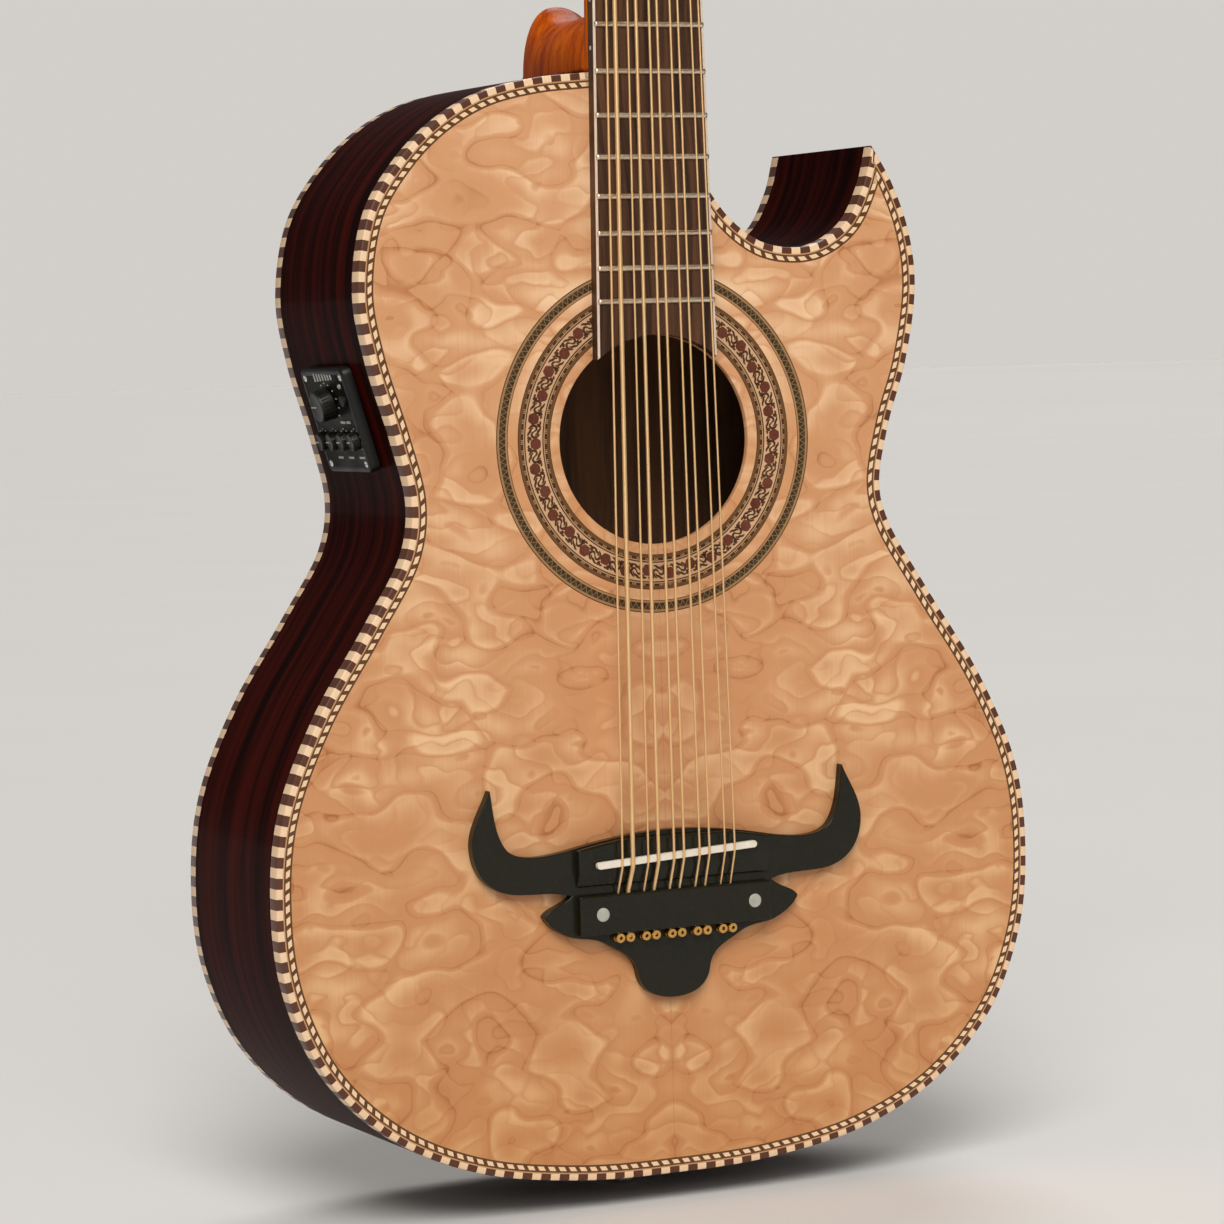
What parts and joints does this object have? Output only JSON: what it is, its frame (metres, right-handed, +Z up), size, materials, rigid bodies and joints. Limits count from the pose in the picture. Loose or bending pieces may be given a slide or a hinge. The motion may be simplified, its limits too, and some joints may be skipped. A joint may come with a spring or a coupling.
{
  "type": "bajo quinto",
  "caption": "Cutaway acoustic-electric bajo quinto: deep guitar-shaped body, paired strings, horned bull-head bridge, mosaic soundhole ring, checkered binding and side preamp.",
  "frame": {"origin": "centre of the outer end of the end pin at the tail, on its axis", "axes": "+Z up the neck from the tail, +X to the treble (cutaway) side, soundboard faces -Y"},
  "size_m": [0.3576, 0.1209, 0.9914],
  "materials": {
    "quilted_top": "clear gloss lacquer over quilted maple",
    "mosaic": "inlaid wood mosaic under gloss lacquer",
    "dark_gloss_wood": "very dark red-brown, high gloss",
    "checker_binding": "cream and dark brown blocks, gloss",
    "inner_wood": "bare sanded wood",
    "mahogany": "orange-brown, gloss",
    "rosewood": "dark brown, satin",
    "ebony": "black, satin",
    "bone": "polished cream",
    "nickel": "polished",
    "bronze": "wound strings",
    "black_plastic": "fine satin"
  },
  "bodies": {
    "instrument": {"neck_block": "inner_wood", "tail_block": "inner_wood", "front_lining": "inner_wood", "back_lining": "inner_wood", "sides": "dark_gloss_wood", "front_binding": "checker_binding", "back_binding": "checker_binding", "soundboard": "quilted_top", "rosette": "mosaic", "back_plate": "dark_gloss_wood", "top_brace_above_hole": "inner_wood", "top_brace_below_hole": "inner_wood", "back_brace_upper": "inner_wood", "back_brace_lower": "inner_wood", "end_pin_jack": "nickel", "neck": "mahogany", "fingerboard": "rosewood", "frets": "nickel", "nut": "bone", "bridge": "ebony", "saddle": "bone", "tuner_plate_bass": "nickel", "tuner_plate_treble": "nickel", "string_1": "bronze", "string_2": "bronze", "string_3": "bronze", "string_4": "bronze", "string_5": "bronze", "string_6": "bronze", "string_7": "bronze", "string_8": "bronze", "string_9": "bronze", "string_10": "bronze", "preamp_panel": "black_plastic"},
    "tuning_key_bass_1": {"tuning_key_bass_1": "nickel"},
    "string_post_bass_1": {"string_post_bass_1": "nickel"},
    "tuning_key_bass_2": {"tuning_key_bass_2": "nickel"},
    "string_post_bass_2": {"string_post_bass_2": "nickel"},
    "tuning_key_bass_3": {"tuning_key_bass_3": "nickel"},
    "string_post_bass_3": {"string_post_bass_3": "nickel"},
    "tuning_key_bass_4": {"tuning_key_bass_4": "nickel"},
    "string_post_bass_4": {"string_post_bass_4": "nickel"},
    "tuning_key_bass_5": {"tuning_key_bass_5": "nickel"},
    "string_post_bass_5": {"string_post_bass_5": "nickel"},
    "tuning_key_treble_1": {"tuning_key_treble_1": "nickel"},
    "string_post_treble_1": {"string_post_treble_1": "nickel"},
    "tuning_key_treble_2": {"tuning_key_treble_2": "nickel"},
    "string_post_treble_2": {"string_post_treble_2": "nickel"},
    "tuning_key_treble_3": {"tuning_key_treble_3": "nickel"},
    "string_post_treble_3": {"string_post_treble_3": "nickel"},
    "tuning_key_treble_4": {"tuning_key_treble_4": "nickel"},
    "string_post_treble_4": {"string_post_treble_4": "nickel"},
    "tuning_key_treble_5": {"tuning_key_treble_5": "nickel"},
    "string_post_treble_5": {"string_post_treble_5": "nickel"},
    "volume_knob": {"volume_knob": "black_plastic"},
    "treble_knob": {"treble_knob": "black_plastic"},
    "middle_knob": {"middle_knob": "black_plastic"},
    "bass_knob": {"bass_knob": "black_plastic"},
    "presence_knob": {"presence_knob": "black_plastic"},
    "tuner_button": {"tuner_button": "black_plastic"}
  },
  "joints": [
    {"name": "bass_key_1_turn", "type": "hinge", "parent": "instrument", "child": "tuning_key_bass_1", "pos_m": [0, -0.02611, 0.85103], "axis": [1, 0, 0], "continuous": true},
    {"name": "bass_post_1_turn", "type": "hinge", "parent": "instrument", "child": "string_post_bass_1", "pos_m": [-0.024, -0.047, 0.84723], "axis": [0, 0.9744, -0.225], "continuous": true},
    {"name": "bass_key_2_turn", "type": "hinge", "parent": "instrument", "child": "tuning_key_bass_2", "pos_m": [0, -0.01959, 0.87929], "axis": [1, 0, 0], "continuous": true},
    {"name": "bass_post_2_turn", "type": "hinge", "parent": "instrument", "child": "string_post_bass_2", "pos_m": [-0.024, -0.04048, 0.87549], "axis": [0, 0.9744, -0.225], "continuous": true},
    {"name": "bass_key_3_turn", "type": "hinge", "parent": "instrument", "child": "tuning_key_bass_3", "pos_m": [0, -0.01307, 0.90754], "axis": [1, 0, 0], "continuous": true},
    {"name": "bass_post_3_turn", "type": "hinge", "parent": "instrument", "child": "string_post_bass_3", "pos_m": [-0.024, -0.03395, 0.90375], "axis": [0, 0.9744, -0.225], "continuous": true},
    {"name": "bass_key_4_turn", "type": "hinge", "parent": "instrument", "child": "tuning_key_bass_4", "pos_m": [0, -0.00654, 0.9358], "axis": [1, 0, 0], "continuous": true},
    {"name": "bass_post_4_turn", "type": "hinge", "parent": "instrument", "child": "string_post_bass_4", "pos_m": [-0.024, -0.02743, 0.932], "axis": [0, 0.9744, -0.225], "continuous": true},
    {"name": "bass_key_5_turn", "type": "hinge", "parent": "instrument", "child": "tuning_key_bass_5", "pos_m": [0, -0.00002, 0.96406], "axis": [1, 0, 0], "continuous": true},
    {"name": "bass_post_5_turn", "type": "hinge", "parent": "instrument", "child": "string_post_bass_5", "pos_m": [-0.024, -0.02091, 0.96026], "axis": [0, 0.9744, -0.225], "continuous": true},
    {"name": "treble_key_1_turn", "type": "hinge", "parent": "instrument", "child": "tuning_key_treble_1", "pos_m": [0, -0.02611, 0.85103], "axis": [1, 0, 0], "continuous": true},
    {"name": "treble_post_1_turn", "type": "hinge", "parent": "instrument", "child": "string_post_treble_1", "pos_m": [0.024, -0.047, 0.84723], "axis": [0, 0.9744, -0.225], "continuous": true},
    {"name": "treble_key_2_turn", "type": "hinge", "parent": "instrument", "child": "tuning_key_treble_2", "pos_m": [0, -0.01959, 0.87929], "axis": [1, 0, 0], "continuous": true},
    {"name": "treble_post_2_turn", "type": "hinge", "parent": "instrument", "child": "string_post_treble_2", "pos_m": [0.024, -0.04048, 0.87549], "axis": [0, 0.9744, -0.225], "continuous": true},
    {"name": "treble_key_3_turn", "type": "hinge", "parent": "instrument", "child": "tuning_key_treble_3", "pos_m": [0, -0.01307, 0.90754], "axis": [1, 0, 0], "continuous": true},
    {"name": "treble_post_3_turn", "type": "hinge", "parent": "instrument", "child": "string_post_treble_3", "pos_m": [0.024, -0.03395, 0.90375], "axis": [0, 0.9744, -0.225], "continuous": true},
    {"name": "treble_key_4_turn", "type": "hinge", "parent": "instrument", "child": "tuning_key_treble_4", "pos_m": [0, -0.00654, 0.9358], "axis": [1, 0, 0], "continuous": true},
    {"name": "treble_post_4_turn", "type": "hinge", "parent": "instrument", "child": "string_post_treble_4", "pos_m": [0.024, -0.02743, 0.932], "axis": [0, 0.9744, -0.225], "continuous": true},
    {"name": "treble_key_5_turn", "type": "hinge", "parent": "instrument", "child": "tuning_key_treble_5", "pos_m": [0, -0.00002, 0.96406], "axis": [1, 0, 0], "continuous": true},
    {"name": "treble_post_5_turn", "type": "hinge", "parent": "instrument", "child": "string_post_treble_5", "pos_m": [0.024, -0.02091, 0.96026], "axis": [0, 0.9744, -0.225], "continuous": true},
    {"name": "volume_knob_turn", "type": "hinge", "parent": "instrument", "child": "volume_knob", "pos_m": [-0.13007, -0.00845, 0.34706], "axis": [-0.959, 0, -0.2833], "range_deg": [-150, 150]},
    {"name": "treble_knob_turn", "type": "hinge", "parent": "instrument", "child": "treble_knob", "pos_m": [-0.12539, -0.02605, 0.33123], "axis": [-0.959, 0, -0.2833], "range_deg": [-140, 140]},
    {"name": "middle_knob_turn", "type": "hinge", "parent": "instrument", "child": "middle_knob", "pos_m": [-0.12539, -0.01435, 0.33123], "axis": [-0.959, 0, -0.2833], "range_deg": [-140, 140]},
    {"name": "bass_knob_turn", "type": "hinge", "parent": "instrument", "child": "bass_knob", "pos_m": [-0.12539, -0.00265, 0.33123], "axis": [-0.959, 0, -0.2833], "range_deg": [-140, 140]},
    {"name": "presence_knob_turn", "type": "hinge", "parent": "instrument", "child": "presence_knob", "pos_m": [-0.12539, 0.00905, 0.33123], "axis": [-0.959, 0, -0.2833], "range_deg": [-140, 140]},
    {"name": "tuner_button_press", "type": "slide", "parent": "instrument", "child": "tuner_button", "axis": [0.959, 0, 0.2833], "range_m": [0, 0.001], "stiffness_N_per_m": 200}
  ],
  "couplings": [
    {"joint": "bass_post_1_turn", "follows": "bass_key_1_turn", "ratio": 0.066667},
    {"joint": "bass_post_2_turn", "follows": "bass_key_2_turn", "ratio": 0.066667},
    {"joint": "bass_post_3_turn", "follows": "bass_key_3_turn", "ratio": 0.066667},
    {"joint": "bass_post_4_turn", "follows": "bass_key_4_turn", "ratio": 0.066667},
    {"joint": "bass_post_5_turn", "follows": "bass_key_5_turn", "ratio": 0.066667},
    {"joint": "treble_post_1_turn", "follows": "treble_key_1_turn", "ratio": -0.066667},
    {"joint": "treble_post_2_turn", "follows": "treble_key_2_turn", "ratio": -0.066667},
    {"joint": "treble_post_3_turn", "follows": "treble_key_3_turn", "ratio": -0.066667},
    {"joint": "treble_post_4_turn", "follows": "treble_key_4_turn", "ratio": -0.066667},
    {"joint": "treble_post_5_turn", "follows": "treble_key_5_turn", "ratio": -0.066667}
  ]
}
